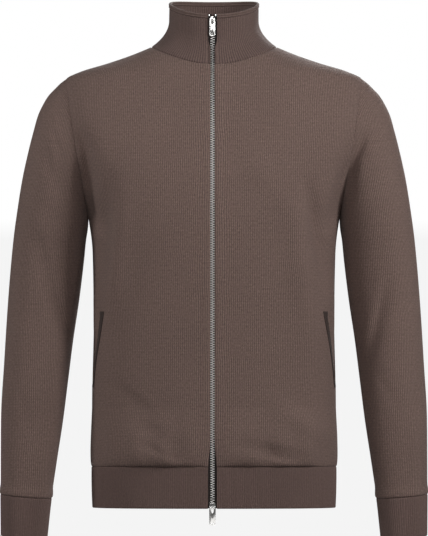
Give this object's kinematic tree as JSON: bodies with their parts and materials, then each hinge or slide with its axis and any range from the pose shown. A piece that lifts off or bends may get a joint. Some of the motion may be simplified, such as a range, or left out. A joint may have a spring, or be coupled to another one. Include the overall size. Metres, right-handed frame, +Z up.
{
  "type": "zip-up cardigan",
  "caption": "Fine-knit zip-up cardigan in worn shape: stand collar, set-in sleeves, slanted side pockets, ribbed hem and cuffs, two-way metal zip. Hollow, held up by its wearer.",
  "frame": {"origin": "middle of the neck opening, level with the high points of the shoulders, where the wearer holds the garment up", "axes": "+Z up, +X towards the wearer's left, the front of the garment faces -Y"},
  "size_m": [0.615, 0.2423, 0.7793],
  "materials": {
    "body_knit": "fine single-face knit, dark taupe brown, matt with a soft nap",
    "rib_knit": "fine rib knit, a little darker than the body, matt",
    "collar_knit": "doubled fine rib knit, matt",
    "zip_tape": "woven dark brown tape",
    "bright_metal": "bright polished nickel finish, plain, no lettering"
  },
  "bodies": {
    "garment": {"front_left": "body_knit", "front_right": "body_knit", "back": "body_knit", "sleeve_left": "body_knit", "sleeve_right": "body_knit", "cuff_left": "rib_knit", "cuff_right": "rib_knit", "hem_rib": "rib_knit", "collar": "collar_knit", "collar_edge": "collar_knit", "pocket_welt_left": "rib_knit", "pocket_welt_right": "rib_knit", "zip_tape_left": "zip_tape", "zip_tape_right": "zip_tape", "zip_chain": "bright_metal", "top_stop_left": "bright_metal", "top_stop_right": "bright_metal", "slider_upper": "bright_metal", "slider_lower": "bright_metal"},
    "upper_pull": {"pull_upper": "bright_metal"},
    "lower_pull": {"pull_lower": "bright_metal"}
  },
  "joints": [
    {"name": "upper_pull_swing", "type": "hinge", "parent": "garment", "child": "upper_pull", "pos_m": [-0.0022, -0.06623, 0.0351], "axis": [1, 0, 0], "range_deg": [-150, 0]},
    {"name": "lower_pull_swing", "type": "hinge", "parent": "garment", "child": "lower_pull", "pos_m": [-0.0022, -0.11376, -0.6613], "axis": [1, 0, 0], "range_deg": [-150, 0]}
  ]
}
